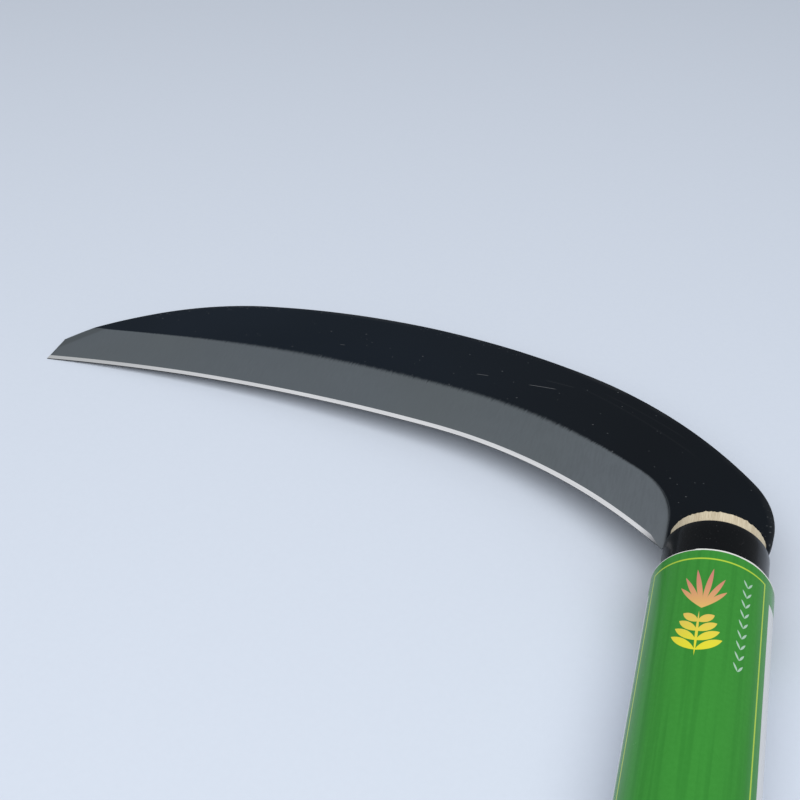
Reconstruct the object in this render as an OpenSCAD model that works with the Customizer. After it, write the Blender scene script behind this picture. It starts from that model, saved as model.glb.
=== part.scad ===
// Hand sickle with a single-bevel blade, lying on its side with the bevel up.
//
// Millimetres. The origin is the centre of the handle's butt, +Y runs up the
// handle to the blade, +Z is up, and the blade reaches out towards -X.
// The sickle lies on the label and on the tip of the blade, so the blade is
// rolled a few degrees about the handle's axis.

/* [Handle] */
// Length of the wood, from the butt to the sawn end
handle_length = 350; // [300:5:400]
// Diameter of the grip
handle_d = 28.8; // [27.4:0.2:32]
// Width of the bevel round the butt
butt_bevel = 2; // [1:0.5:4]
// How far the sawn end stands out of the ring
wood_proud = 4.2; // [2:0.2:6]

/* [Ring] */
// Outside diameter of the ring
ring_d = 26; // [25:0.2:27]
// Thickness of the ring's wall
ring_wall = 1; // [0.8:0.1:1.4]
// Length of the ring
ring_length = 13; // [12:1:30]

/* [Blade] */
// Straight distance from the heel of the edge to its tip
blade_length = 209; // [181:2:231]
// Thickness of the plate
blade_t = 3; // [2.6:0.1:3.4]
// Width of the ground bevel beside the heel
bevel_heel_w = 15; // [13:0.2:16]
// Width of the ground bevel where it is widest, past its middle
bevel_mid_w = 16.4; // [14:0.2:17]
// Width of the ground bevel at the tip
bevel_tip_w = 15.2; // [14:0.2:17]
// Width of the honed strip along the edge
hone_w = 1.7; // [1.2:0.1:2.4]
// Thickness of the hard steel under the edge
steel_t = 0.55; // [0.4:0.05:0.8]
// Width of the hard steel under the edge
steel_w = 12; // [8:1:14]
// Flat left on the cutting edge
edge_land = 0.15; // [0.1:0.05:0.25]

/* [Tang] */
// Length of the tang behind the ring's mouth
tang_length = 70; // [60:5:90]
// Width of the tang at its end
tang_end_w = 10; // [8:1:12]
// Diameter of the nail that holds the tang
nail_d = 3; // [2.5:0.5:4]
// Distance of the nail behind the ring's mouth
nail_back = 32; // [24:2:40]

/* [Label] */
// Length of the paper label
label_length = 130; // [100:5:150]
// Thickness of the label, with its overlap and glue
paper_t = 0.3; // [0.2:0.1:0.4]
// Length of ring left bare in front of the label
bare_ring = 12; // [11:0.5:12]

/* [Hidden] */
$fn = 96;

// Places along the handle
mouth_y = handle_length - wood_proud; // the ring's mouth, where the blade comes out
seat_d = ring_d - 2 * ring_wall; // wood turned down to take the ring
label_d = handle_d + 2 * paper_t;
clear = 5; // how far a cutter passes a face
skim = 1; // the same above and below the plate, where the cutter's own slope is kept

// Edge and back as tangent arcs [radius, turn], both turning left. The edge
// runs from the heel to the tip, and the back from the ring's mouth to the
// corner where the tip is clipped.
edge_shape = [[145, 31.5], [535, 14.4]];
edge_heading = 138.5;
back_shape = [[26.5, 60.9], [126, 29.7], [232, 27.9], [92, 25.1], [129, 13.8]];
back_heading = 67.2;
heel = [-13.4, 0];
back_foot = [11.4, 0];
tang_neck = [7, -12]; // half width of the tang where it leaves the root, and where
tang_root_x = -10; // the tang's left side at the ring's mouth
arc_step = 3; // longest straight piece of an arc

function left_of(h) = [-sin(h), cos(h)];
function centre_of(p, h, arc) = p + arc[0] * left_of(h);
function end_of(p, h, arc) = centre_of(p, h, arc) - arc[0] * left_of(h + arc[1]);
function pieces_in(arc) = max(2, ceil(arc[0] * arc[1] * PI / 180 / arc_step));

// Stations [place, heading] along a chain of arcs, each junction once
function stations(p, h, arcs, i = 0) =
    i == len(arcs) ? []
    : concat(
        [for (j = [(i == 0 ? 0 : 1) : pieces_in(arcs[i])])
            let (turned = h + arcs[i][1] * j / pieces_in(arcs[i]))
            [centre_of(p, h, arcs[i]) - arcs[i][0] * left_of(turned), turned]],
        stations(end_of(p, h, arcs[i]), h + arcs[i][1], arcs, i + 1)
    );

function places(line) = [for (s = line) s[0]];
function scaled(arcs, k) = [for (a = arcs) [a[0] * k, a[1]]];
function reversed(v) = [for (i = [len(v) - 1 : -1 : 0]) v[i]];
function last(v) = v[len(v) - 1];

// A line of stations moved sideways, away from the side it turns to
function beside(line, d) = [for (s = line) s[0] - d * left_of(s[1])];

// A station moved straight along its own heading
function moved_on(station, d) =
    [station[0] + d * [cos(station[1]), sin(station[1])], station[1]];

// The shape's own chord sets the factor that brings it to blade_length
shape_tip = last(stations(heel, edge_heading, edge_shape))[0];
blade_k = blade_length / norm(shape_tip - heel);
edge_arcs = scaled(edge_shape, blade_k);
back_arcs = scaled(back_shape, blade_k);
edge = stations(heel, edge_heading, edge_arcs);
back = stations(back_foot, back_heading, back_arcs);
tip = last(edge)[0];
edge_past_tip = concat(edge, [moved_on(last(edge), 2 * clear)]);

// The blade's roll brings the tip down to the surface that the label lies on
roll = asin(label_d / 2 / -tip[0]);

// Heel run-out: a steep step round the end of the bevel
runout_x = -12.55; // top of the step beside the ring
runout_r = 20.5; // radius of its corner
runout_steep = 14; // how far the step climbs for each millimetre sideways
bevel_r = edge_arcs[0][0] + bevel_heel_w;
bevel_c = centre_of(heel, edge_heading, edge_arcs[0]);
runout_cx = runout_x - runout_r;
runout_cy = bevel_c[1] + sqrt(pow(bevel_r - runout_r, 2) - pow(runout_cx - bevel_c[0], 2));
runout_turn = atan2(runout_cy - bevel_c[1], runout_cx - bevel_c[0]);

// False edge: a facet ground off the back beside the tip
facet_from = [15.2, 14.9] * blade_k; // a place on its inner line, from the tip
facet_z = 0.93 * blade_t; // how high the line is there
facet_turn = 42; // heading of the line in plan
facet_rise = 6.4; // how the line climbs
facet_lift = 6.6; // how the facet climbs towards the back, less than the bevel
facet_cutter = [60, 20, 10]; // large enough to take off all that lies above the facet

// Stands a shape that is drawn along +Z along the handle instead
module along_handle(y = 0) {
    translate([0, y, 0]) rotate([-90, 0, 0]) children();
}

// Puts the blade's flat drawing at the ring's mouth, rolled on to its tip
module at_mouth() {
    translate([0, mouth_y, 0]) rotate([0, -roll, 0]) children();
}

// Width of the bevel, with u running from 0 at the heel to 1 at the tip
bevel_widest = 0.62;
function eased(a, b, t) = a + (b - a) * (1 - cos(180 * t)) / 2;
function bevel_w(u) =
    u < bevel_widest ? eased(bevel_heel_w, bevel_mid_w, u / bevel_widest)
    : eased(bevel_mid_w, bevel_tip_w, (u - bevel_widest) / (1 - bevel_widest));

// What grinding takes off, carried along the edge and past both its ends
module grinding() {
    line = concat([moved_on(edge[0], -2 * clear)], edge_past_tip);
    n = len(ground_off(bevel_heel_w));
    rings = len(line);
    polyhedron(
        points = [for (
            i = [0 : rings - 1],
            p = ground_off(bevel_w(i / (rings - 1)))
        )
            let (place = line[i][0] - p[0] * left_of(line[i][1]))
            [place[0], place[1], p[1]]],
        faces = concat(
            [[for (j = [n - 1 : -1 : 0]) j]],
            [for (i = [0 : rings - 2], j = [0 : n - 1])
                [i * n + j, i * n + (j + 1) % n, (i + 1) * n + (j + 1) % n, (i + 1) * n + j]],
            [[for (j = [0 : n - 1]) (rings - 1) * n + j]]
        )
    );
}

// Blade and tang in plan
module blade_outline() {
    polygon(concat(
        places(edge),
        reversed(places(back)),
        [
            [tang_neck[0], tang_neck[1]],
            [tang_end_w / 2, -tang_length],
            [-tang_end_w / 2, -tang_length],
            [-tang_neck[0], tang_neck[1]],
            [tang_root_x, 0],
        ]
    ));
}

// Section of what grinding takes off where the bevel is w wide; its x is the
// distance from the edge
function ground_off(w) = [
    [-clear, edge_land],
    [0, edge_land],
    [hone_w, steel_t],
    [w + skim * (w - hone_w) / (blade_t - steel_t), blade_t + skim],
    [-clear, blade_t + skim],
];

// The space that grinding can reach: everything left of the step
module runout_limit() {
    reach = blade_length + clear;
    above = 2 * skim; // higher than grinding reaches
    low_in = (blade_t + skim) / runout_steep;
    high_out = above / runout_steep;
    // beside the ring, a straight step
    translate([0, runout_cy, 0])
        rotate([90, 0, 0])
            linear_extrude(height = runout_cy + clear)
                polygon([
                    [-reach, -skim],
                    [runout_x - low_in, -skim],
                    [runout_x + high_out, blade_t + above],
                    [-reach, blade_t + above],
                ]);
    // round the corner, a cone
    translate([runout_cx, runout_cy, -skim])
        cylinder(
            r1 = runout_r - low_in,
            r2 = runout_r + high_out,
            h = blade_t + skim + above
        );
    // beyond the corner, no limit
    translate([runout_cx, runout_cy, -skim])
        rotate([0, 0, runout_turn - 90])
            translate([-2 * reach, -reach, 0])
                cube([2 * reach, 2 * reach, blade_t + skim + above]);
}

module facet_cut() {
    translate([tip[0] + facet_from[0], tip[1] + facet_from[1], facet_z])
        rotate([0, 0, facet_turn])
            rotate([0, -facet_rise, 0])
                rotate([facet_lift, 0, 0])
                    translate([-facet_cutter[0] / 2, 0, 0])
                        cube(facet_cutter);
}

// The ground plate with its tang, iron and steel together, lying flat
module ground_plate() {
    difference() {
        linear_extrude(height = blade_t) blade_outline();
        intersection() {
            grinding();
            runout_limit();
        }
        facet_cut();
    }
}

// The band of the plate that is hard steel
module steel_band() {
    translate([0, 0, -skim])
        linear_extrude(height = steel_t + skim)
            polygon(concat(
                beside(edge_past_tip, -clear),
                reversed(beside(edge_past_tip, steel_w))
            ));
}

module nail_hole(d) {
    translate([0, -nail_back, -handle_d]) cylinder(d = d, h = 2 * handle_d);
}

module blade() {
    color("#1b2027")
        at_mouth()
            difference() {
                ground_plate();
                steel_band();
                nail_hole(nail_d);
            }
}

module edge_steel() {
    color("#d6d7da")
        at_mouth()
            intersection() {
                ground_plate();
                steel_band();
            }
}

// Nail with a flat head, sunk just below the wood
nail_head_d = 6;
nail_head_t = 1.2;
nail_sunk = 0.5;
module nail_shape() {
    top = handle_d / 2 - nail_sunk;
    translate([0, -nail_back, -top]) cylinder(d = nail_d, h = 2 * top);
    translate([0, -nail_back, top - nail_head_t]) cylinder(d = nail_head_d, h = nail_head_t);
}

module tang_nail() {
    color("#8a8d90") at_mouth() nail_shape();
}

module handle() {
    slot_length = tang_length + 2;
    color("#e6d6b4")
        difference() {
            union() {
                along_handle()
                    cylinder(d1 = handle_d - 2 * butt_bevel, d2 = handle_d, h = butt_bevel);
                along_handle(butt_bevel)
                    cylinder(d = handle_d, h = mouth_y - ring_length - butt_bevel);
                along_handle(mouth_y - ring_length)
                    cylinder(d = seat_d, h = ring_length + wood_proud);
            }
            at_mouth() {
                translate([-handle_d, -slot_length, 0])
                    cube([2 * handle_d, slot_length + wood_proud + clear, blade_t]);
                nail_hole(nail_d);
                translate([0, -nail_back, handle_d / 2 - nail_sunk - nail_head_t])
                    cylinder(d = nail_head_d, h = handle_d);
            }
        }
}

module ferrule() {
    color("#15171a")
        along_handle(mouth_y - ring_length)
            difference() {
                cylinder(d = ring_d, h = ring_length);
                translate([0, 0, -clear]) cylinder(d = seat_d, h = ring_length + 2 * clear);
            }
}

module label() {
    color("#3c943a")
        along_handle(mouth_y - bare_ring - label_length)
            difference() {
                cylinder(d = label_d, h = label_length);
                translate([0, 0, -clear]) cylinder(d = handle_d, h = label_length + 2 * clear);
            }
}

blade();
edge_steel();
handle();
ferrule();
tang_nail();
label();
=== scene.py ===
"""A hand sickle: its looks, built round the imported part.

The frame is the part's own, in metres: the origin is the centre of the handle's
butt, +Y runs up the handle to the blade, +Z is up and the blade reaches to -X.
Shapes are worked out in millimetres, and MM scales them when a mesh is made.
"""

import math

import bpy
from mathutils import Matrix, Vector, noise


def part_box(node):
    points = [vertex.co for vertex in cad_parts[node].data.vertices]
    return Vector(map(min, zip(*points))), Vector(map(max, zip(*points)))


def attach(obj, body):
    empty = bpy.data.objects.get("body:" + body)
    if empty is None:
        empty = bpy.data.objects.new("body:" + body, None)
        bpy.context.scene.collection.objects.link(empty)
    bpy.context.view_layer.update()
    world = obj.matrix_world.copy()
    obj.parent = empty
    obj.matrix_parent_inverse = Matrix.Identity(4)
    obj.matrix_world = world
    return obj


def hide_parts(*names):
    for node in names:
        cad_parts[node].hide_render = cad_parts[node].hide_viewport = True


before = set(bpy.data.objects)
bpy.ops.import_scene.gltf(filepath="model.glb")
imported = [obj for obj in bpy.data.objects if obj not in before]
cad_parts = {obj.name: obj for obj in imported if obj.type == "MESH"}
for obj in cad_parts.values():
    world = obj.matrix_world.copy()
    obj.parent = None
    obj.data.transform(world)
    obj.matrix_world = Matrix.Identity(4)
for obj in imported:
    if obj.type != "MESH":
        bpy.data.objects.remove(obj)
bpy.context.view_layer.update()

MM = 0.001


# ---- Places taken from the frame, in millimetres ----

def box_mm(node):
    low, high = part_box(node)
    return low / MM, high / MM


ring_low, ring_high = box_mm("ferrule")
wood_high = box_mm("handle")[1]
label_low, label_high = box_mm("label")

MOUTH_Y = ring_high.y  # where the blade comes out of the ring
RING_R = ring_high.x
RING_WALL = 1.0
RING_BACK_Y = ring_low.y
WOOD_R = wood_high.x
WOOD_END_Y = wood_high.y
LABEL_R = label_high.x
LABEL_BACK_Y = label_low.y
LABEL_FRONT_Y = label_high.y
LABEL_L = LABEL_FRONT_Y - LABEL_BACK_Y
FLOOR_Z = label_low.z

# ---- The blade's shape, as in the part's source ----

BLADE_LENGTH = 209  # straight from the heel of the edge to its tip
PLATE_T = 3
EDGE_ARCS = ((145, 31.5), (535, 14.4))  # tangent arcs: radius, turn in degrees
EDGE_HEADING = 138.5
BACK_ARCS = ((26.5, 60.9), (126, 29.7), (232, 27.9), (92, 25.1), (129, 13.8))
BACK_HEADING = 67.2
HEEL = Vector((-13.4, 0))
BACK_FOOT = Vector((11.4, 0))
TANG = ((0.4, -10, 11.4), (12, -7, 7), (70, -5, 5))  # how far back, left side, right side
BEVEL_W = (15, 16.4, 15.2)  # at the heel, at its widest and at the tip
BEVEL_WIDEST = 0.62
HONE_W = 1.7
STEEL_T = 0.55
STEEL_W = 12
FACET_FROM = Vector((15.2, 14.9))  # a place on the facet's inner line, from the tip
FACET_Z = 2.79
FACET_TURN = 42
FACET_RISE = 6.4
FACET_LIFT = 6.6
FACET_REACH = 30  # how far from that place the facet is looked for
RUNOUT_X = -12.55  # where the ground bevel ends beside the ring
RUNOUT_R = 20.5
RUNOUT_STEEP = 14

# ---- Finer than the source: the honed strip, the edge's own face and rounded creases ----

STRIP_BEGINS = 1.2  # along the edge from the heel
STRIP_RAMP = 4.5  # how far it takes to come to its full width
STRIP_LEAST = 0.03
STRIP_HEEL = 1.16
STRIP_GAIN_BODY = 0.14  # what its width gains past the heel, and again towards the tip
STRIP_GAIN_TIP = 0.17
LAND_HEEL, LAND_BODY, LAND_TIP = 0.32, 0.10, 0.30  # height of the edge's own face
RUNOUT_ROUND, FACET_ROUND, GRIND_ROUND = 0.25, 0.05, 0.07  # how far their creases are rounded


def smooth(t):
    """0 below 0, 1 above 1, and an S curve between."""
    t = min(max(t, 0.0), 1.0)
    return t * t * (3 - 2 * t)


def blend(a, b, t):
    return a + (b - a) * t


def soft_min(a, b, k):
    """The lower of two heights, with the crease between them rounded over k."""
    h = max(k - abs(a - b), 0.0) / k
    return min(a, b) - h * h * k / 4


def soft_max(a, b, k):
    return -soft_min(-a, -b, k)


def left_of(heading):
    a = math.radians(heading)
    return Vector((-math.sin(a), math.cos(a)))


class ArcChain:
    """Tangent arcs that all turn left, measured along their length."""

    def __init__(self, start, heading, arcs, factor=1.0):
        self.arcs = []
        self.length = 0.0
        at = Vector(start)
        for radius, turn in arcs:
            radius *= factor
            centre = at + radius * left_of(heading)
            self.arcs.append((self.length, centre, radius, heading, turn))
            self.length += radius * math.radians(turn)
            heading += turn
            at = centre - radius * left_of(heading)
        self.end = at

    def at(self, distance):
        """The place and the heading at a distance along the chain."""
        begin, centre, radius, heading, turn = [a for a in self.arcs if a[0] <= max(distance, 0)][-1]
        heading += math.degrees((distance - begin) / radius)
        return centre - radius * left_of(heading), heading

    def measure(self, point):
        """How far a point lies outside the chain, and how far along it."""
        for begin, centre, radius, heading, turn in self.arcs:
            out = point - centre
            turned = math.degrees(math.atan2(out.y, out.x)) + 90 - heading
            turned = (turned + 180) % 360 - 180
            if turned <= turn or begin == self.arcs[-1][0]:
                break
        return out.length - radius, begin + radius * math.radians(turned)


factor = BLADE_LENGTH / (ArcChain(HEEL, EDGE_HEADING, EDGE_ARCS).end - HEEL).length
edge = ArcChain(HEEL, EDGE_HEADING, EDGE_ARCS, factor)
back = ArcChain(BACK_FOOT, BACK_HEADING, BACK_ARCS, factor)
tip = edge.end
ROLL = math.asin(LABEL_R / -tip.x)  # the blade's tip and the label both touch the floor
to_mouth = Matrix.Translation((0, MOUTH_Y, 0)) @ Matrix.Rotation(-ROLL, 4, "Y")


def bevel_width(along):
    u = along / edge.length
    if u < BEVEL_WIDEST:
        t = (1 - math.cos(math.pi * max(u, 0) / BEVEL_WIDEST)) / 2
        return blend(BEVEL_W[0], BEVEL_W[1], t)
    t = (1 - math.cos(math.pi * (u - BEVEL_WIDEST) / (1 - BEVEL_WIDEST))) / 2
    return blend(BEVEL_W[1], BEVEL_W[2], t)


def bevel_height(across, along):
    slope = (PLATE_T - STEEL_T) / (bevel_width(along) - HONE_W)
    return STEEL_T + slope * (across - HONE_W)


def hone_width(along):
    """The bright strip starts as a point just past the heel and widens towards the tip."""
    body = STRIP_HEEL + STRIP_GAIN_BODY * smooth((along - 8) / 18)
    body += STRIP_GAIN_TIP * smooth((along - 120) / 50)
    return STRIP_LEAST + body * min(max((along - STRIP_BEGINS) / STRIP_RAMP, 0), 1)


def land_height(along):
    """The edge's own blunt face, which is tallest at the heel and towards the tip."""
    land = blend(LAND_HEEL, LAND_BODY, smooth(along / 6))
    return blend(land, LAND_TIP, smooth((along - 110) / 60))


FAR_ABOVE = 50.0  # stands for no surface; below, its negative does

runout_centre = Vector((RUNOUT_X - RUNOUT_R, 0))
bevel_centre = edge.arcs[0][1]
bevel_radius = edge.arcs[0][2] + BEVEL_W[0]
runout_centre.y = bevel_centre.y + math.sqrt(
    (bevel_radius - RUNOUT_R) ** 2 - (runout_centre.x - bevel_centre.x) ** 2
)
corner_way = (runout_centre - bevel_centre).normalized()


def runout_height(point):
    """The steep step that ends the bevel beside the ring."""
    if point.y <= runout_centre.y:
        past = point.x - RUNOUT_X
    else:
        from_corner = point - runout_centre
        if from_corner.cross(corner_way) > 0:
            past = from_corner.length - RUNOUT_R
        else:
            return -FAR_ABOVE
    return PLATE_T + past * RUNOUT_STEEP


facet_turn = Matrix.Rotation(math.radians(FACET_TURN), 3, "Z")
facet_rise = Matrix.Rotation(-math.radians(FACET_RISE), 3, "Y")
facet_lift = Matrix.Rotation(math.radians(FACET_LIFT), 3, "X")
facet_normal = facet_turn @ (facet_rise @ facet_lift) @ Vector((0, 0, 1))
facet_point = Vector((tip.x + FACET_FROM.x, tip.y + FACET_FROM.y, FACET_Z))


def facet_height(point):
    off = point - facet_point.xy
    if off.length > FACET_REACH:
        return FAR_ABOVE
    return facet_point.z - (off.x * facet_normal.x + off.y * facet_normal.y) / facet_normal.z


def ground_height(point):
    """The ground surface, which runs on above the plate's own face."""
    across, along = edge.measure(point)
    bevel = bevel_height(across, along)
    ramped = soft_max(bevel, runout_height(point), RUNOUT_ROUND)
    return soft_min(ramped, facet_height(point), FACET_ROUND)


def top_height(point):
    return soft_min(ground_height(point), PLATE_T, GRIND_ROUND)


# ---- Making meshes ----

def mesh_piece(name, vertices, faces, sharp=35, place=None, attributes=None):
    """A piece that rides on the part, from vertices in millimetres."""
    mesh = bpy.data.meshes.new(name)
    mesh.from_pydata([Vector(v) * MM for v in vertices], [], faces)
    if place:
        mesh.transform(Matrix.Scale(MM, 4) @ place @ Matrix.Scale(1 / MM, 4))
    for key, values in (attributes or {}).items():
        layer = mesh.attributes.new(key, "FLOAT", "POINT")
        layer.data.foreach_set("value", values)
    mesh.validate()
    mesh.shade_smooth()
    mesh.set_sharp_from_angle(angle=math.radians(sharp))
    piece = bpy.data.objects.new(name, mesh)
    bpy.context.scene.collection.objects.link(piece)
    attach(piece, "root")
    return piece


def loft(loops, capped=True):
    """Faces that join closed loops of the same number of points."""
    count = len(loops[0])
    faces = []
    for i in range(len(loops) - 1):
        for j in range(count):
            k = (j + 1) % count
            faces.append((i * count + j, i * count + k, (i + 1) * count + k, (i + 1) * count + j))
    if capped:
        faces.append(tuple(reversed(range(count))))
        faces.append(tuple(range((len(loops) - 1) * count, len(loops) * count)))
    return [p for loop in loops for p in loop], faces


def spread(a, b, count):
    """Evenly spaced values from a up to, but without, b."""
    return [a + (b - a) * i / count for i in range(count)]


# ---- The blade: the same sections give the iron plate and the hard steel under its edge ----

BACK_STEP = 1.1
RIM_R = 0.4  # rounding of the plate's corners along the back
BOTTOM_R = 0.25
HEEL_CROWD = 1.35  # above 1, the sections stand closer together along the edge near the heel
CREASE = 0.12  # rows this far from a crease keep it tight
FORGED = 0.035  # how far the forged faces wander from flat
GRIND_RUN = 6  # the bevel runs about this far for each millimetre that it climbs
SCALE_LIMIT = -6.0  # the black face's lowest value of "bare"; the rim and underside have NOT_TOP
NOT_TOP = -9.0
LAST_GAP = 0.0006  # from the last full section to the end of the back
END_SHRINK = 0.1
RIM_HIGHLIGHT_AND_WEAR = (0.4, 1.0, 0.4)  # how strongly the back's rim is painted lighter at its first rows: a painted highlight, broken up like wear
TANG_SIDE = (2.9, 2.8, 2.7, 2.6, 0.25, 0.15, 0.05)  # heights of the points on its right side
QUARTER = [math.radians(a) for a in (0, 22.5, 45, 67.5, 90)]


class Section:
    """A straight cut across the blade in plan, from the edge to the back."""

    def __init__(self, u):
        self.u = u
        self.edge_at = edge.at(edge.length * u ** HEEL_CROWD)[0]
        self.back_at, heading = back.at(back.length * u)
        self.inward = left_of(heading)
        self.rim = self.back_at + self.inward * RIM_R
        self.span = (self.rim - self.edge_at).length
        self.along = edge.measure(self.edge_at)[1]
        hone = hone_width(self.along)
        steel = blend(hone, STEEL_W, smooth(self.along / 16))
        self.t_hone = self.first(lambda p: edge.measure(p)[0] - hone, 0)
        self.t_steel = max(
            min(self.first(lambda p: edge.measure(p)[0] - steel, self.t_hone), 1 - 1.2 / self.span),
            self.t_hone + 0.3 / self.span,
        )
        room = 0.5 / self.span
        self.t_high = min(self.first(lambda p: ground_height(p) - PLATE_T, self.t_hone), 1 - room)
        # above 0 where the grinding reaches the back
        self.past_rim = (PLATE_T - ground_height(self.rim)) * GRIND_RUN
        self.t_low = min(self.first(self.off_bevel, self.t_hone), self.t_high - room)
        self.t_low = max(self.t_low, self.t_hone + 0.02)

    def at(self, t):
        return self.edge_at + (self.rim - self.edge_at) * t

    def off_bevel(self, point):
        """Above 0 where the run-out or the facet has taken over from the bevel."""
        bevel = bevel_height(*edge.measure(point))
        return max(runout_height(point) - bevel, bevel - facet_height(point), bevel - PLATE_T)

    def first(self, measure, start):
        """The first place along the section, from start, where a measure rises past 0."""
        step = 0.5 / self.span
        low = start
        while low < 1 and measure(self.at(low + step)) < 0:
            low += step
        high = low + step
        for _ in range(18):
            middle = (low + high) / 2
            if measure(self.at(middle)) < 0:
                low = middle
            else:
                high = middle
        return min(low, 1)

    def top_rows(self):
        """Places across the top face, closer together at its creases."""
        c = CREASE / self.span
        rows = spread(self.t_hone, self.t_low - c, 14) + [self.t_low - c, self.t_low, self.t_low + c]
        rows += spread(self.t_low + c, self.t_high - c, 9)[1:]
        rows += [self.t_high - c, self.t_high, self.t_high + c]
        rows += spread(self.t_high + c, 1, 16)[1:]
        return rows + [1.0]


def wander(point, z):
    """Unevenness left by the hammer and the wheel."""
    far = noise.noise(Vector((point.x / 21, point.y / 21, z)))
    near = noise.noise(Vector((point.x / 6, point.y / 6, z + 9)))
    return FORGED * (far + 0.25 * near)


def solid_point(point, z):
    return (point.x, point.y, z)


def iron_loop(s, shrink=0.0):
    """Up the top face from the strip, over the back and along the underside.

    With each point goes how far it lies inside the ground face's limit, the "bare" value.
    """
    top = []
    bare = []
    for t in s.top_rows():
        p = s.at(t)
        z = top_height(p)
        fade = smooth((z - 0.8) / 0.8)
        top.append(solid_point(p, z + wander(p, 0) * fade - shrink))
        gap = (1 - t) * s.span + s.past_rim if s.past_rim > 0 else (s.t_high - t) * s.span
        bare.append(max(gap, SCALE_LIMIT))
    start = s.at(s.t_hone)
    seam_z = min(bevel_height(*edge.measure(start)), top[0][2] - 0.02)
    z_rim = top[-1][2]
    radius = min(RIM_R, z_rim / 3)
    loop = [solid_point(start, seam_z)] + top
    for a in QUARTER[1:]:
        out = s.back_at + s.inward * (RIM_R * (1 - math.sin(a)))
        loop.append(solid_point(out, z_rim - radius * (1 - math.cos(a))))
    for a in QUARTER[::2]:
        out = s.back_at + s.inward * (BOTTOM_R * (1 - math.cos(a)))
        loop.append(solid_point(out, BOTTOM_R * (1 - math.sin(a))))
    low_rows = [1 - 0.3 / s.span] + spread(blend(1, s.t_steel, 0.06), s.t_steel, 9) + [s.t_steel]
    for t in low_rows:
        p = s.at(t)
        lift = wander(p, 40) * smooth((t - s.t_steel) * s.span / 6) * 0.5
        loop.append(solid_point(p, max(lift, 0)))
    loop.append(solid_point(s.at(s.t_steel), seam_z))
    rim_bare = s.past_rim if s.past_rim > 0 else NOT_TOP
    bare = [1.0] + bare + [rim_bare] * 4
    bare += [NOT_TOP] * (len(loop) - len(bare))
    return loop, bare


def steel_loop(s):
    """The hard steel: its honed face, and the band of it that shows underneath."""
    start = s.at(s.t_hone)
    seam_z = min(bevel_height(*edge.measure(start)), top_height(start) - 0.02)
    land = min(land_height(s.along), seam_z)
    loop = [solid_point(s.edge_at, 0), solid_point(s.edge_at, land)]
    for t in spread(0, s.t_hone, 4)[1:] + [s.t_hone]:
        loop.append(solid_point(s.at(t), blend(land, seam_z, t / s.t_hone)))
    end = s.at(s.t_steel)
    loop += [solid_point(end, seam_z), solid_point(end, 0)]
    loop += [solid_point(s.at(t), 0) for t in spread(s.t_steel, 0, 6)[1:]]
    return loop


def tang_loop(back_by, left, right, tops, points):
    """A square section of the tang, with as many points as a section of the iron."""
    lows = points - tops - len(TANG_SIDE) - 2
    loop = [(left, -back_by, PLATE_T / 2)]
    loop += [(blend(left, right - RIM_R, i / (tops - 1)), -back_by, PLATE_T) for i in range(tops)]
    loop += [(right, -back_by, z) for z in TANG_SIDE]
    loop += [(blend(right - RIM_R, left, i / (lows - 1)), -back_by, 0) for i in range(lows)]
    loop += [(left, -back_by, PLATE_T / 4)]
    return loop


def blade_pieces():
    """The iron with its tang, and the hard steel, with the measures that their materials read."""
    count = int(back.length / BACK_STEP)
    sections = [Section(i / count) for i in range(count)] + [Section(1 - LAST_GAP), Section(1)]
    loops = []
    bare = []
    from_rim = []
    for s in sections:
        loop, values = iron_loop(s, shrink=END_SHRINK if s.u == 1 else 0)
        loops.append(loop)
        bare += values
        from_rim += [(Vector(p[:2]) - s.rim).length for p in loop]
    along = []
    across = []
    facets = []
    for loop in loops:
        for p in loop:
            a, b = edge.measure(Vector(p[:2]))
            across.append(a)
            along.append(b)
            facets.append(bevel_height(a, b) - facet_height(Vector(p[:2])))
    points = len(loops[0])
    tops = len(sections[0].top_rows())
    # The rim's first rows carry a painted highlight along the back, broken up like wear.
    rim_highlight_and_wear = [0.0] * tops + list(RIM_HIGHLIGHT_AND_WEAR)
    rim_highlight_and_wear += [0.0] * (points - len(rim_highlight_and_wear))
    tang = [tang_loop(*row, tops, points) for row in reversed(TANG)]
    hidden = len(tang) * points
    vertices, faces = loft(tang + loops)
    iron = mesh_piece(
        "blade_plate", vertices, faces, place=to_mouth,
        attributes={
            "bare": [NOT_TOP] * hidden + bare,
            "facet": [0.0] * hidden + facets,
            "rim": [0.0] * hidden + rim_highlight_and_wear * len(sections),
            "from_rim": [9.0] * hidden + from_rim,
            "along": [0.0] * hidden + along,
            "across": [9.0] * hidden + across,
        },
    )
    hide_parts("blade")

    loops = [steel_loop(s) for s in sections]
    vertices, faces = loft(loops)
    gaps = [edge.measure(Vector(p[:2])) for p in vertices]
    steel = mesh_piece(
        "honed_edge", vertices, faces, sharp=6, place=to_mouth,
        attributes={
            "across": [g[0] for g in gaps],
            "along": [g[1] for g in gaps],
            "height": [p[2] for p in vertices],
        },
    )
    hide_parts("edge_steel")
    return iron, steel


# ---- Round pieces along the handle ----

RING_STEPS = 144
WOOD_STEPS = 128


def ring_at(radius, y, count):
    return [
        (radius * math.sin(2 * math.pi * i / count), y, radius * math.cos(2 * math.pi * i / count))
        for i in range(count)
    ]


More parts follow.
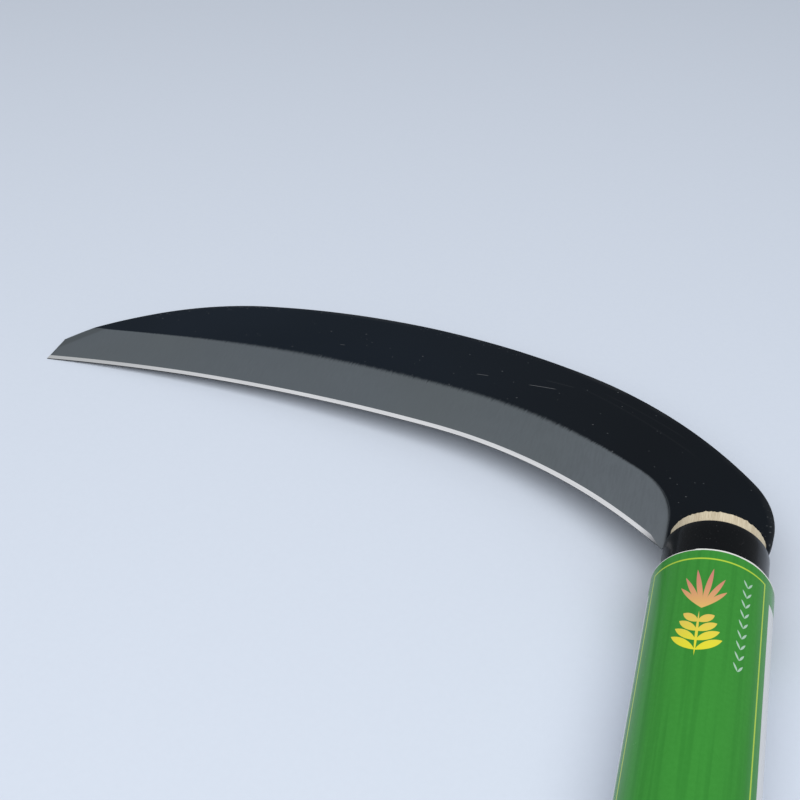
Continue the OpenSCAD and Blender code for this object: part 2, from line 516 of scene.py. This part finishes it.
def ring_piece():
    """The ring: a tube with rolled rims."""
    lip = 0.35
    chamfer = 0.1
    inner = RING_R - RING_WALL

    def rim(y, way):
        return [(RING_R - lip * (1 - math.sin(a)), y + way * lip * (1 - math.cos(a))) for a in QUARTER]

    profile = rim(RING_BACK_Y, 1)
    profile += [(RING_R, y) for y in spread(RING_BACK_Y + 1, MOUTH_Y - 1, 8)]
    profile += rim(MOUTH_Y, -1)[::-1]
    profile += [(inner + chamfer, MOUTH_Y), (inner, MOUTH_Y - chamfer)]
    profile += [(inner, RING_BACK_Y + chamfer), (inner + chamfer, RING_BACK_Y)]
    loops = [ring_at(r, y, RING_STEPS) for r, y in profile]
    loops.append(loops[0])
    vertices, faces = loft(loops, capped=False)
    used = len(profile) * RING_STEPS
    faces = [tuple(v % used for v in f) for f in faces]
    piece = mesh_piece("ring", vertices[:used], faces)
    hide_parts("ferrule")
    return piece


BUTT_BEVEL = 2
BUTT_ROUND = 0.3
SLOT_END_Y = MOUTH_Y - TANG[-1][0] - 2  # where the saw cut for the tang ends
SEAT_R = RING_R - RING_WALL  # the wood is turned down to this for the ring
CHEEK_STEPS = 72
RAGGED = 1.2  # how far back from the sawn end the wood is uneven


def cheek_outline(radius, above):
    """What the blade's slot leaves of a round of wood, on one side of it, with the slot level."""
    chord_z = PLATE_T if above else 0
    half = math.acos(chord_z / radius)
    arc = [half * (2 * i / CHEEK_STEPS - 1) for i in range(CHEEK_STEPS + 1)]
    outline = [Vector((math.sin(a) * radius, math.cos(a) * radius * (1 if above else -1))) for a in arc]
    return outline + [Vector((x, chord_z)) for x in spread(outline[-1].x, outline[0].x, 24)[1:]]


def cheek_piece(name, above):
    """One cheek of the sawn end, above or below the blade, with a slightly ragged end."""
    end = WOOD_END_Y
    shoulder = RING_BACK_Y - 0.4
    rows = [(WOOD_R, y) for y in spread(SLOT_END_Y, shoulder, 8)] + [(WOOD_R, shoulder)]
    rows += [(WOOD_R - 0.2, RING_BACK_Y - 0.05), (SEAT_R, RING_BACK_Y), (SEAT_R, RING_BACK_Y + 6)]
    rows += [(SEAT_R, y) for y in spread(MOUTH_Y - 1, end - 0.3, 10)]
    rows += [(SEAT_R, end - 0.3), (SEAT_R, end - 0.12)]
    loops = [[(p.x, y, p.y) for p in cheek_outline(radius, above)] for radius, y in rows]
    middle = Vector((0, SEAT_R * (0.45 if above else -0.45)))
    for shrink in (0.02, 0.06, 0.2, 0.4, 0.6, 0.8, 0.97):
        inner = [p.lerp(middle, shrink) for p in cheek_outline(SEAT_R, above)]
        loops.append([(p.x, end, p.y) for p in inner])
    vertices, faces = loft(loops)
    ragged = []
    for x, y, z in vertices:
        close = smooth((y - (end - RAGGED)) / RAGGED)
        saw = 0.16 * noise.noise(Vector((x * 1.7, 3, z * 1.7)))
        saw += 0.42 * noise.noise(Vector((x * 6, 8, z * 6)))
        level = Vector((x, z))
        level.rotate(Matrix.Rotation(ROLL, 2))
        ragged.append((level.x, y + close * (saw - 0.05), level.y))
    if not above:
        faces = [tuple(reversed(f)) for f in faces]
    piece = mesh_piece(name, ragged, faces, sharp=40)
    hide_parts("handle")
    return piece


def handle_piece():
    """The turned wood from the butt up to the end of the saw cut."""
    profile = [(2, 0), (6, 0), (10, 0), (WOOD_R - BUTT_BEVEL - 0.4, 0)]
    for i in range(5):
        radius = blend(WOOD_R - BUTT_BEVEL, WOOD_R - BUTT_ROUND, i / 4)
        profile.append((radius, BUTT_ROUND + blend(0, BUTT_BEVEL - BUTT_ROUND, i / 4)))
    profile.append((WOOD_R, BUTT_BEVEL + 0.4))
    profile += [(WOOD_R, y) for y in spread(6, SLOT_END_Y, 60)]
    profile += [(WOOD_R, SLOT_END_Y), (WOOD_R - 2, SLOT_END_Y), (2, SLOT_END_Y)]
    loops = [ring_at(r, y, WOOD_STEPS) for r, y in profile]
    vertices, faces = loft(loops)
    uneven = []
    for x, y, z in vertices:
        fade = smooth((SLOT_END_Y - y) / 10)
        swell = 1 + 0.0025 * fade * noise.noise(Vector((x / 14, y / 60, z / 14)))
        uneven.append((x * swell, y, z * swell))
    piece = mesh_piece("handle_wood_body", uneven, faces)
    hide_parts("handle")
    return piece


# ---- The label: one sheet wrapped round the wood, its end lying over its start ----

PAPER_T = 0.17
PAPER_GAP = 0.02
LAP_START = math.radians(118)  # seen from the ring, measured from the top towards +X
LAP = math.radians(30)
LAP_RISE = math.radians(9)
CUT_WAVE = 0.096  # unevenness of the cut end at the ring
CUT_STEP = 0.22  # on top, that end stands this much further out from CUT_STEP_AT on
CUT_STEP_AT = math.radians(-24.4)


def at_angle(radius, angle, up_sheet):
    return (radius * math.sin(angle), LABEL_BACK_Y + up_sheet, radius * math.cos(angle))


def label_piece():
    """A closed sheet: for each column, the outer face's row of points and then the inner one's."""
    columns = 300
    rows = [0, 0.25, 1] + spread(4, LABEL_L - 4, 24) + [LABEL_L - 4, LABEL_L - 1, LABEL_L - 0.2, LABEL_L]
    loops = []
    for i in range(columns + 1):
        turn = (2 * math.pi + LAP) * i / columns
        angle = LAP_START + turn
        climb = smooth((turn - (2 * math.pi - LAP_RISE)) / LAP_RISE)
        low = WOOD_R + PAPER_GAP + climb * PAPER_T
        cut = CUT_WAVE * noise.noise(Vector((angle * 3, 1, 2)))
        past_step = smooth((math.sin(angle - CUT_STEP_AT) / 0.02 + 1) / 2)
        cut += CUT_STEP * past_step * (math.cos(angle) > 0)
        column = [v + cut * smooth((v - (LABEL_L - 10)) / 10) for v in rows]
        loop = [at_angle(low + PAPER_T, angle, v) for v in column]
        loop += [at_angle(low, angle, v) for v in reversed(column)]
        loops.append(loop)
    vertices, faces = loft(loops[::-1])  # from the sheet's far end, which turns its faces outwards
    piece = mesh_piece("label_sheet", vertices, faces)
    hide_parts("label")
    return piece


# ---- Materials ----

class Nodes:
    """Short words for building a material's node tree."""

    def __init__(self, name):
        self.material = bpy.data.materials.new(name)
        self.material.use_nodes = True
        self.tree = self.material.node_tree
        self.shader = self.tree.nodes["Principled BSDF"]

    def new(self, kind, **settings):
        made = self.tree.nodes.new("ShaderNode" + kind)
        for key, value in settings.items():
            setattr(made, key, value)
        return made

    def link(self, source, target):
        self.tree.links.new(source, target)

    def feed(self, target, value):
        if isinstance(value, (int, float)):
            target.default_value = value
        else:
            self.link(value, target)

    def math(self, operation, *values):
        made = self.new("Math", operation=operation)
        for target, value in zip(made.inputs, values):
            self.feed(target, value)
        return made.outputs[0]

    def times(self, a, b):
        return self.math("MULTIPLY", a, b)

    def both(self, *masks):
        """1 where all the masks are."""
        made = masks[0]
        for mask in masks[1:]:
            made = self.times(made, mask)
        return made

    def either(self, *masks):
        """1 where at least one of the masks is."""
        made = masks[0]
        for mask in masks[1:]:
            made = self.math("MAXIMUM", made, mask)
        return made

    def stripe(self, value, middle, width):
        """1 where value is within half the width of the middle, in millimetres."""
        off = self.math("ABSOLUTE", self.math("SUBTRACT", value, middle))
        return self.step(off, width / 2 + 0.05, width / 2 - 0.05)

    def step(self, value, low, high):
        """0 where value is below low, 1 above high, and smooth between."""
        made = self.new("MapRange", interpolation_type="SMOOTHSTEP")
        self.feed(made.inputs["Value"], value)
        self.feed(made.inputs["From Min"], low)
        self.feed(made.inputs["From Max"], high)
        return made.outputs["Result"]

    def scale(self, value, low, high):
        """Brings a value that runs from 0 to 1 into the range from low to high."""
        made = self.new("MapRange")
        self.feed(made.inputs["Value"], value)
        made.inputs["To Min"].default_value = low
        made.inputs["To Max"].default_value = high
        return made.outputs["Result"]

    def attribute(self, name):
        return self.new("Attribute", attribute_name=name).outputs["Fac"]

    def position(self):
        return self.new("TexCoord").outputs["Object"]

    def stretched(self, x, y, z):
        """Object coordinates scaled to a texture's own units."""
        made = self.new("Mapping")
        self.link(self.position(), made.inputs["Vector"])
        made.inputs["Scale"].default_value = (x, y, z)
        return made.outputs["Vector"]

    def combine(self, x, y, z=0.0):
        made = self.new("CombineXYZ")
        for target, value in zip(made.inputs, (x, y, z)):
            self.feed(target, value)
        return made.outputs[0]

    def noise(self, vector, detail=3.0, roughness=0.5):
        made = self.new("TexNoise")
        self.link(vector, made.inputs["Vector"])
        made.inputs["Scale"].default_value = 1.0
        made.inputs["Detail"].default_value = detail
        made.inputs["Roughness"].default_value = roughness
        return made.outputs["Fac"]

    def mix(self, amount, a, b):
        made = self.new("Mix", data_type="RGBA")
        self.feed(made.inputs[0], amount)
        for target, value in ((made.inputs[6], a), (made.inputs[7], b)):
            if isinstance(value, tuple):
                target.default_value = (*value, 1)
            else:
                self.link(value, target)
        return made.outputs[2]

    def bump(self, height, distance, strength):
        made = self.new("Bump")
        made.inputs["Strength"].default_value = strength
        made.inputs["Distance"].default_value = distance
        self.link(height, made.inputs["Height"])
        self.link(made.outputs["Normal"], self.shader.inputs["Normal"])

    def set(self, **values):
        """Sets or links the shader's own sockets, with _ for the spaces in their names."""
        for key, value in values.items():
            target = self.shader.inputs[key.replace("_", " ")]
            if isinstance(value, tuple):
                target.default_value = (*value, 1)
            else:
                self.feed(target, value)

    def give(self, *pieces):
        for piece in pieces:
            piece.data.materials.clear()
            piece.data.materials.append(self.material)


def specks(n, cells, size, share):
    """Small dots at random places: 1 on a dot."""
    cell = n.new("TexVoronoi")
    n.link(n.stretched(cells, cells * 1.7, cells), cell.inputs["Vector"])
    cell.inputs["Scale"].default_value = 1.0
    dot = n.math("LESS_THAN", cell.outputs["Distance"], size)
    split = n.new("SeparateColor")
    n.link(cell.outputs["Color"], split.inputs[0])
    chosen = n.math("LESS_THAN", split.outputs[0], share)
    return n.times(dot, chosen)


def scratch(n, start, end, width):
    """A straight mark between two places, each given as the distances across and along."""
    start, end = Vector(start), Vector(end)
    way = (end - start).normalized()
    across = n.math("SUBTRACT", n.attribute("across"), start.x)
    along = n.math("SUBTRACT", n.attribute("along"), start.y)
    run = n.math("ADD", n.times(across, way.x), n.times(along, way.y))
    off = n.math("SUBTRACT", n.times(across, way.y), n.times(along, way.x))
    half = (end - start).length / 2
    ends = n.step(n.math("ABSOLUTE", n.math("SUBTRACT", run, half)), half, half * 0.7)
    return n.times(ends, n.step(n.math("ABSOLUTE", off), width, width * 0.3))


BARE_METAL = (0.30, 0.31, 0.32)

# start and end, as distances across and along; half width; strength
SCRATCHES = (
    ((27.6, 62.8), (30.0, 55.5), 0.10, 0.5),
    ((25.5, 76.8), (26.3, 73.4), 0.14, 0.3),
    ((32.1, 60.0), (33.6, 52.0), 0.12, 0.06),
    ((34.7, 52.8), (30.0, 14.0), 0.30, 0.012),
    ((36.0, 46.0), (34.0, 20.0), 0.20, 0.015),
    ((25.2, 121.5), (25.4, 119.9), 0.12, 0.3),
)


def ground_mask(n, along, across):
    """1 on the ground face, 0 on the black scale, with a hairy limit in the blade's middle."""
    streaks = n.noise(n.combine(n.times(along, 1.9), n.times(across, 0.12)), 3.0, 0.7)
    middle = n.times(n.step(along, 200, 130), n.step(along, 12, 60))
    near_heel = n.step(along, 40, 10)
    hairs = n.times(n.math("SUBTRACT", streaks, 0.5), n.scale(middle, 0.2, 3.7))
    low = n.math("SUBTRACT", n.scale(middle, -0.25, -1.9), n.times(near_heel, 0.2))
    high = n.math("ADD", n.scale(middle, 0.25, 0.8), n.times(near_heel, 0.5))
    ground = n.step(n.math("ADD", n.attribute("bare"), hairs), low, high)
    return n.times(ground, n.math("SQRT", ground))


def forged_colour(n, along, cloud, mottle):
    """Blue-black scale with specks, chips along the back's rim, a few scratches and a painted highlight
    along the rim.
    """
    clouded = n.step(cloud, 0.35, 0.7)
    near_ring = n.mix(clouded, (0.0016, 0.0034, 0.0060), (0.0030, 0.0056, 0.0090))
    near_tip = n.mix(clouded, (0.0012, 0.0052, 0.0110), (0.0024, 0.0070, 0.0145))
    colour = n.mix(n.step(along, 20, 150), near_ring, near_tip)
    dots = n.math("MAXIMUM", specks(n, 420, 0.11, 0.055), specks(n, 900, 0.16, 0.03))
    chips = n.times(specks(n, 1000, 0.27, 0.30), n.step(n.attribute("from_rim"), 3.6, 0.4))
    dots = n.math("MAXIMUM", dots, n.times(chips, n.step(cloud, 0.46, 0.54)))
    colour = n.mix(n.times(dots, 0.55), colour, (0.13, 0.14, 0.145))
    for start, end, width, strength in SCRATCHES:
        colour = n.mix(n.times(scratch(n, start, end, width), strength), colour, BARE_METAL)
    # A painted highlight along the back's rim, broken up by the mottle like wear.
    rim_highlight_and_wear = n.times(n.attribute("rim"), n.step(mottle, 0.45, 0.65))
    return n.mix(n.times(rim_highlight_and_wear, 0.1), colour, BARE_METAL)


def ground_colour(n, along, cloud, fine):
    """Satin grey with the wheel's stripes, lighter towards the heel as a painted highlight, and darker
    on the tip's facet as painted shade.
    """
    stripes = n.step(n.noise(n.stretched(1300, 50, 1300), 2.0, 0.6), 0.4, 0.7)
    stripes = n.times(stripes, n.scale(n.step(along, 90, 20), 0.12, 0.6))
    colour = n.mix(fine, (0.170, 0.196, 0.216), (0.210, 0.238, 0.260))
    colour = n.mix(stripes, colour, (0.160, 0.182, 0.200))
    colour = n.mix(n.times(n.step(cloud, 0.4, 0.65), 0.5), colour, (0.185, 0.208, 0.215))
    # Painted highlight: the bevel is painted lighter over the last 60 mm towards the heel, and lighter
    # still at the heel itself.
    colour = n.mix(n.times(n.step(along, 60, 5), 0.25), colour, (0.25, 0.27, 0.295))
    colour = n.mix(n.times(n.step(along, 9, -6), 0.4), colour, (0.33, 0.35, 0.375))
    # Painted shade: where the tip's facet sinks below the bevel, it is painted darker.
    facet = n.step(n.attribute("facet"), 0.0, 0.03)
    return n.mix(n.times(facet, 0.4), colour, (0.10, 0.112, 0.112))


def plate_material():
    """Black forging scale, ground away to grey on the bevel."""
    n = Nodes("black_scale_and_grind")
    along = n.attribute("along")
    across = n.attribute("across")
    fine = n.noise(n.combine(n.times(along, 5.0), n.times(across, 0.25)), 3.0)
    mottle = n.noise(n.stretched(60, 60, 60), 4.0)
    cloud = n.noise(n.stretched(14, 14, 14), 2.0)
    bare = ground_mask(n, along, across)
    forged = forged_colour(n, along, cloud, mottle)
    ground = ground_colour(n, along, cloud, fine)
    wall = n.step(n.attribute("bare"), SCALE_LIMIT - 0.5, NOT_TOP + 0.5)
    satin = n.math("ADD", n.scale(bare, 0.36, 0.44), n.times(mottle, 0.08))
    n.set(
        Base_Color=n.mix(bare, forged, ground),
        Metallic=n.scale(bare, 0.0, 0.9),
        Roughness=n.math("ADD", satin, n.times(wall, 0.35)),
        Specular_IOR_Level=0.16,
    )
    n.bump(n.math("ADD", n.times(n.times(fine, bare), 0.5), n.times(mottle, 0.35)), 0.00002, 0.6)
    return n


def steel_material():
    """Bright where it is honed, satin on the flat underneath, and near-black with painted shade on the
    edge's own face.
    """
    n = Nodes("honed_steel")
    along = n.attribute("along")
    across = n.attribute("across")
    fine = n.noise(n.combine(n.times(along, 9.0), n.times(across, 0.3)), 3.0)
    honed = n.times(n.step(n.attribute("height"), 0.02, 0.05), n.step(across, 0.005, 0.03))
    # Painted shade: close to the edge, on the edge's own face and the underside next to it, the steel is
    # painted near-black.
    edge_shade_and_satin = n.mix(n.step(across, 0.2, 0.6), (0.035, 0.037, 0.040), (0.16, 0.165, 0.17))
    dull = n.step(along, 150, edge.length)
    bright = n.mix(dull, (0.84, 0.85, 0.87), (0.62, 0.63, 0.63))
    bright = n.mix(fine, bright, n.mix(dull, (0.74, 0.74, 0.75), (0.52, 0.53, 0.53)))
    lines = n.noise(n.combine(n.times(along, 0.05), n.times(across, 6.0)), 2.0, 0.6)
    bright = n.mix(n.times(n.step(lines, 0.45, 0.62), 0.35), bright, (0.56, 0.57, 0.60))
    bright = n.mix(n.step(along, 0.5, 10), (0.175, 0.185, 0.200), bright)
    n.set(
        Base_Color=n.mix(honed, edge_shade_and_satin, bright),
        Metallic=0.45,
        Roughness=n.scale(fine, 0.34, 0.46),
    )
    n.bump(fine, 0.00001, 0.4)
    return n


def wood_material():
    """Pale close-grained wood: fibres along the handle, growth rings on its ends."""
    n = Nodes("pale_wood")
    long_grain = n.noise(n.stretched(3000, 110, 3000), 3.0, 0.75)
    bands = n.new("TexWave", wave_type="RINGS", rings_direction="Y")
    n.link(n.stretched(90, 0.6, 90), bands.inputs["Vector"])
    bands.inputs["Scale"].default_value = 1.0
    bands.inputs["Distortion"].default_value = 3.5
    bands.inputs["Detail"].default_value = 2.0
    pores = n.noise(n.stretched(3300, 160, 3300), 2.0, 0.7)
    pore = n.step(pores, 0.58, 0.70)
    colour = n.mix(n.step(long_grain, 0.3, 0.7), (0.51, 0.43, 0.30), (0.70, 0.62, 0.455))
    colour = n.mix(n.times(bands.outputs["Fac"], 0.10), colour, (0.48, 0.39, 0.25))
    colour = n.mix(n.times(pore, 0.4), colour, (0.38, 0.28, 0.17))
    n.set(Base_Color=colour, Roughness=n.scale(long_grain, 0.52, 0.66), Specular_IOR_Level=0.35)
    n.bump(n.math("SUBTRACT", long_grain, pore), 0.00006, 0.5)
    return n


def ring_material():
    """Thick gloss black paint with a slight orange peel."""
    n = Nodes("gloss_black")
    peel = n.noise(n.stretched(900, 900, 900), 2.0)
    dust = n.noise(n.stretched(2600, 2600, 2600), 1.0)
    n.set(
        Base_Color=n.mix(n.step(dust, 0.70, 0.76), (0.0015, 0.0022, 0.003), (0.03, 0.03, 0.032)),
        Roughness=n.scale(peel, 0.20, 0.30),
        Specular_IOR_Level=0.15,
        Coat_Weight=0.08,
        Coat_Roughness=0.08,
    )
    n.bump(peel, 0.00003, 0.25)
    return n


def nail_material():
    n = Nodes("plain_nail")
    rough = n.noise(n.stretched(1500, 1500, 1500), 3.0)
    n.set(Base_Color=(0.42, 0.42, 0.43), Metallic=1.0, Roughness=n.scale(rough, 0.3, 0.5))
    n.bump(rough, 0.00002, 0.5)
    return n


PRINT_MIDDLE = math.radians(-12)  # the printed panel's middle, from the top towards +X
PRINT_HALF = 15.4
PRINT_MARGIN = 3.0
LINE_W = 0.46
PANEL_EDGE = math.radians(58)  # where the white back panel begins, on the +X side
PANEL_MARGIN = 7
RULES_MARGIN = 16
RULE_STEP = 8


def leaf(n, u, v, place, heading, length, width):
    """1 inside a pointed leaf: two equal arcs that meet at its ends."""
    a = math.radians(heading)
    middle = (place[0] + math.sin(a) * length / 2, place[1] + math.cos(a) * length / 2)
    du = n.math("SUBTRACT", u, middle[0])
    dv = n.math("SUBTRACT", v, middle[1])
    lengthwise = n.math("ADD", n.times(du, math.sin(a)), n.times(dv, math.cos(a)))
    sideways = n.math("SUBTRACT", n.times(du, math.cos(a)), n.times(dv, math.sin(a)))
    radius = (length ** 2 + width ** 2) / (4 * width)
    off = n.math("ADD", n.math("ABSOLUTE", sideways), radius - width / 2)
    square = n.math("ADD", n.times(off, off), n.times(lengthwise, lengthwise))
    return n.step(n.math("SQRT", square), radius + 0.03, radius - 0.03)


def border_mask(n, u, v):
    """A thin line all round the printed front."""
    inside_u = n.step(n.math("ABSOLUTE", u), PRINT_HALF + 0.2, PRINT_HALF + 0.1)
    inside_v = n.both(
        n.step(v, PRINT_MARGIN - 0.2, PRINT_MARGIN - 0.1),
        n.step(v, LABEL_L - PRINT_MARGIN + 0.2, LABEL_L - PRINT_MARGIN + 0.1),
    )
    return n.either(
        n.both(n.stripe(n.math("ABSOLUTE", u), PRINT_HALF, LINE_W), inside_v),
        n.both(n.stripe(v, PRINT_MARGIN, LINE_W), inside_u),
        n.both(n.stripe(v, LABEL_L - PRINT_MARGIN, LINE_W), inside_u),
    )


def motif_mask(n, u, v):
    """A tuft of grass with a leafy sprig below it."""
    tuft_foot = (0, 18.6)
    tuft = [
        leaf(n, u, v, tuft_foot, 180 + turn, reach, 1.25)
        for turn, reach in ((-41, 8.0), (-25, 10.8), (-8, 12.6), (9, 12.0), (25, 10.4), (40, 8.2))
    ]
    sprig_foot = (-0.4, 32.4)
    sprig = [leaf(n, u, v, sprig_foot, 180, 12.8, 0.6)]
    for i in range(4):
        at = (sprig_foot[0], sprig_foot[1] - 1.6 - 2.7 * i)
        reach = 6.9 - 0.9 * i
        sprig += [leaf(n, u, v, at, 180 + side * 55, reach, 2.0) for side in (-1, 1)]
    return n.either(*tuft, *sprig)


def leaf_row_mask(n, u, v):
    """A row of small leaf pairs beside the motif."""
    pairs = []
    for i in range(9):
        at = (10.1 - 0.1 * i, 8.6 + 3.1 * i)
        pairs += [leaf(n, u, v, at, 180 + side * 30, 2.4, 0.5) for side in (-1, 1)]
    return n.either(*pairs)


def panel_masks(n, angle, v):
    """The white panel on the back, and the ruled lines on it."""
    facing = n.math("COSINE", n.math("SUBTRACT", angle, PRINT_MIDDLE + math.pi))
    limit = math.cos(math.pi - (PANEL_EDGE - PRINT_MIDDLE))
    panel = n.both(
        n.step(facing, limit - 0.01, limit + 0.01),
        n.step(v, PANEL_MARGIN - 0.1, PANEL_MARGIN + 0.1),
        n.step(v, LABEL_L - PANEL_MARGIN + 0.1, LABEL_L - PANEL_MARGIN - 0.1),
    )
    ruled = n.both(
        panel,
        n.stripe(n.math("PINGPONG", v, RULE_STEP / 2), RULE_STEP / 2, 0.5),
        n.step(facing, 0.72, 0.73),
        n.step(v, RULES_MARGIN, RULES_MARGIN + 0.1),
        n.step(v, LABEL_L - RULES_MARGIN, LABEL_L - RULES_MARGIN - 0.1),
    )
    return panel, ruled


def printed_mask(n, around, v, mottle):
    """0 on the cut ends and on the inside, where the paper is bare."""
    outward = n.new("VectorMath", operation="NORMALIZE")
    n.link(n.combine(around["X"], 0.0, around["Z"]), outward.inputs[0])
    turned = n.new("VectorMath", operation="DOT_PRODUCT")
    n.link(n.new("NewGeometry").outputs["Normal"], turned.inputs[0])
    n.link(outward.outputs[0], turned.inputs[1])
    trimmed = n.math("ADD", v, n.times(mottle, 0.2))
    return n.times(n.step(turned.outputs["Value"], 0.3, 0.5), n.step(trimmed, 0.28, 0.36))


def label_material():
    """Glossy green print: a lined border, plant motifs and a white back panel.

    u runs round the label from the print's middle and v down it from the ring, in millimetres.
    """
    n = Nodes("printed_label")
    split = n.new("SeparateXYZ")
    n.link(n.position(), split.inputs[0])
    around = split.outputs
    angle = n.math("ARCTAN2", around["X"], around["Z"])
    u = n.times(n.math("SUBTRACT", angle, PRINT_MIDDLE), LABEL_R)
    v = n.times(n.math("SUBTRACT", LABEL_FRONT_Y * MM, around["Y"]), 1 / MM)
    mottle = n.noise(n.stretched(1100, 1100, 1100), 2.0)

    green = n.mix(mottle, (0.034, 0.225, 0.029), (0.044, 0.262, 0.038))
    # Darker vertical bands round the label: painted reflections of the room in the glossy paper.
    painted_reflection_bands = n.noise(n.combine(n.times(angle, 7.0), n.times(v, 0.012)), 2.0, 0.6)
    green = n.mix(n.times(n.step(painted_reflection_bands, 0.45, 0.65), 0.5), green, (0.026, 0.190, 0.024))
    gradient = n.new("ValToRGB")
    n.link(n.step(v, 6, 32), gradient.inputs[0])
    ramp = gradient.color_ramp.elements
    ramp[0].color = (0.55, 0.20, 0.16, 1)
    ramp[1].color = (0.70, 0.66, 0.03, 1)
    ramp.new(0.45).color = (0.68, 0.42, 0.13, 1)
    panel, ruled = panel_masks(n, angle, v)
    colour = n.mix(border_mask(n, u, v), green, (0.41, 0.58, 0.05))
    colour = n.mix(motif_mask(n, u, v), colour, gradient.outputs[0])
    colour = n.mix(n.times(leaf_row_mask(n, u, v), 0.6), colour, (0.60, 0.75, 0.70))
    colour = n.mix(panel, colour, (0.66, 0.67, 0.68))
    colour = n.mix(n.times(ruled, 0.8), colour, (0.05, 0.25, 0.06))
    n.set(
        Base_Color=n.mix(printed_mask(n, around, v, mottle), (0.72, 0.72, 0.69), colour),
        Roughness=n.scale(mottle, 0.22, 0.29),
        Specular_IOR_Level=0.17,
        Coat_Weight=0.08,
        Coat_Roughness=0.16,
    )
    n.bump(mottle, 0.00002, 0.2)
    return n


# ---- The studio ----

FLOOR_REACH = 3.0  # in metres, as are the light's place and size
LIGHT_AT = (0.0, -0.25, 1.1)
LIGHT_SIZE = (1.8, 1.3)
LIGHT_AIM = (-0.08, 0.36, 0)
CAMERA_AT = Vector((-18.87, MOUTH_Y - 207.08, 205.81))
CAMERA_DOWN = 38.85  # degrees below level, and then to the left of the handle's own line
CAMERA_TURN = 17.17


def floor_piece():
    mesh = bpy.data.meshes.new("floor")
    reach = FLOOR_REACH
    z = FLOOR_Z * MM
    corners = [(-reach, -reach, z), (reach, -reach, z), (reach, reach, z), (-reach, reach, z)]
    mesh.from_pydata(corners, [], [(0, 1, 2, 3)])
    floor = bpy.data.objects.new("floor", mesh)
    bpy.context.scene.collection.objects.link(floor)
    n = Nodes("floor_paper")
    grain = n.noise(n.stretched(700, 700, 700), 3.0)
    n.set(
        Base_Color=n.mix(grain, (0.60, 0.655, 0.745), (0.62, 0.675, 0.765)),
        Roughness=0.7,
        Specular_IOR_Level=0.25,
    )
    n.bump(grain, 0.00005, 0.15)
    n.give(floor)


def overhead_light():
    """One large soft light above the handle."""
    data = bpy.data.lights.new("overhead", "AREA")
    data.shape = "RECTANGLE"
    data.size, data.size_y = LIGHT_SIZE
    data.energy = 21.0
    light = bpy.data.objects.new("overhead", data)
    light.location = LIGHT_AT
    light.rotation_euler = (Vector(LIGHT_AIM) - Vector(LIGHT_AT)).to_track_quat("-Z", "Y").to_euler()
    bpy.context.scene.collection.objects.link(light)


def studio():
    floor_piece()
    world = bpy.data.worlds.new("studio")
    world.use_nodes = True
    sky = world.node_tree.nodes["Background"]
    sky.inputs["Color"].default_value = (0.92, 0.95, 1.0, 1)
    sky.inputs["Strength"].default_value = 0.34
    bpy.context.scene.world = world
    bpy.context.scene.view_settings.view_transform = "Standard"
    overhead_light()


def camera():
    """The view from above the handle towards the blade, with a 50 mm lens and no roll."""
    data = bpy.data.cameras.new("camera")
    data.lens = 50
    data.sensor_width = 36
    data.clip_start = 0.01
    made = bpy.data.objects.new("camera", data)
    made.location = CAMERA_AT * MM
    made.rotation_euler = (math.radians(90 - CAMERA_DOWN), 0, math.radians(CAMERA_TURN))
    bpy.context.scene.collection.objects.link(made)
    bpy.context.scene.camera = made


iron, steel = blade_pieces()
plate_material().give(iron)
steel_material().give(steel)
ring_material().give(ring_piece())
wood_material().give(
    handle_piece(),
    cheek_piece("wood_cheek_upper", above=True),
    cheek_piece("wood_cheek_lower", above=False),
)
label_material().give(label_piece())
nail_material().give(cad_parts["tang_nail"])
studio()
camera()
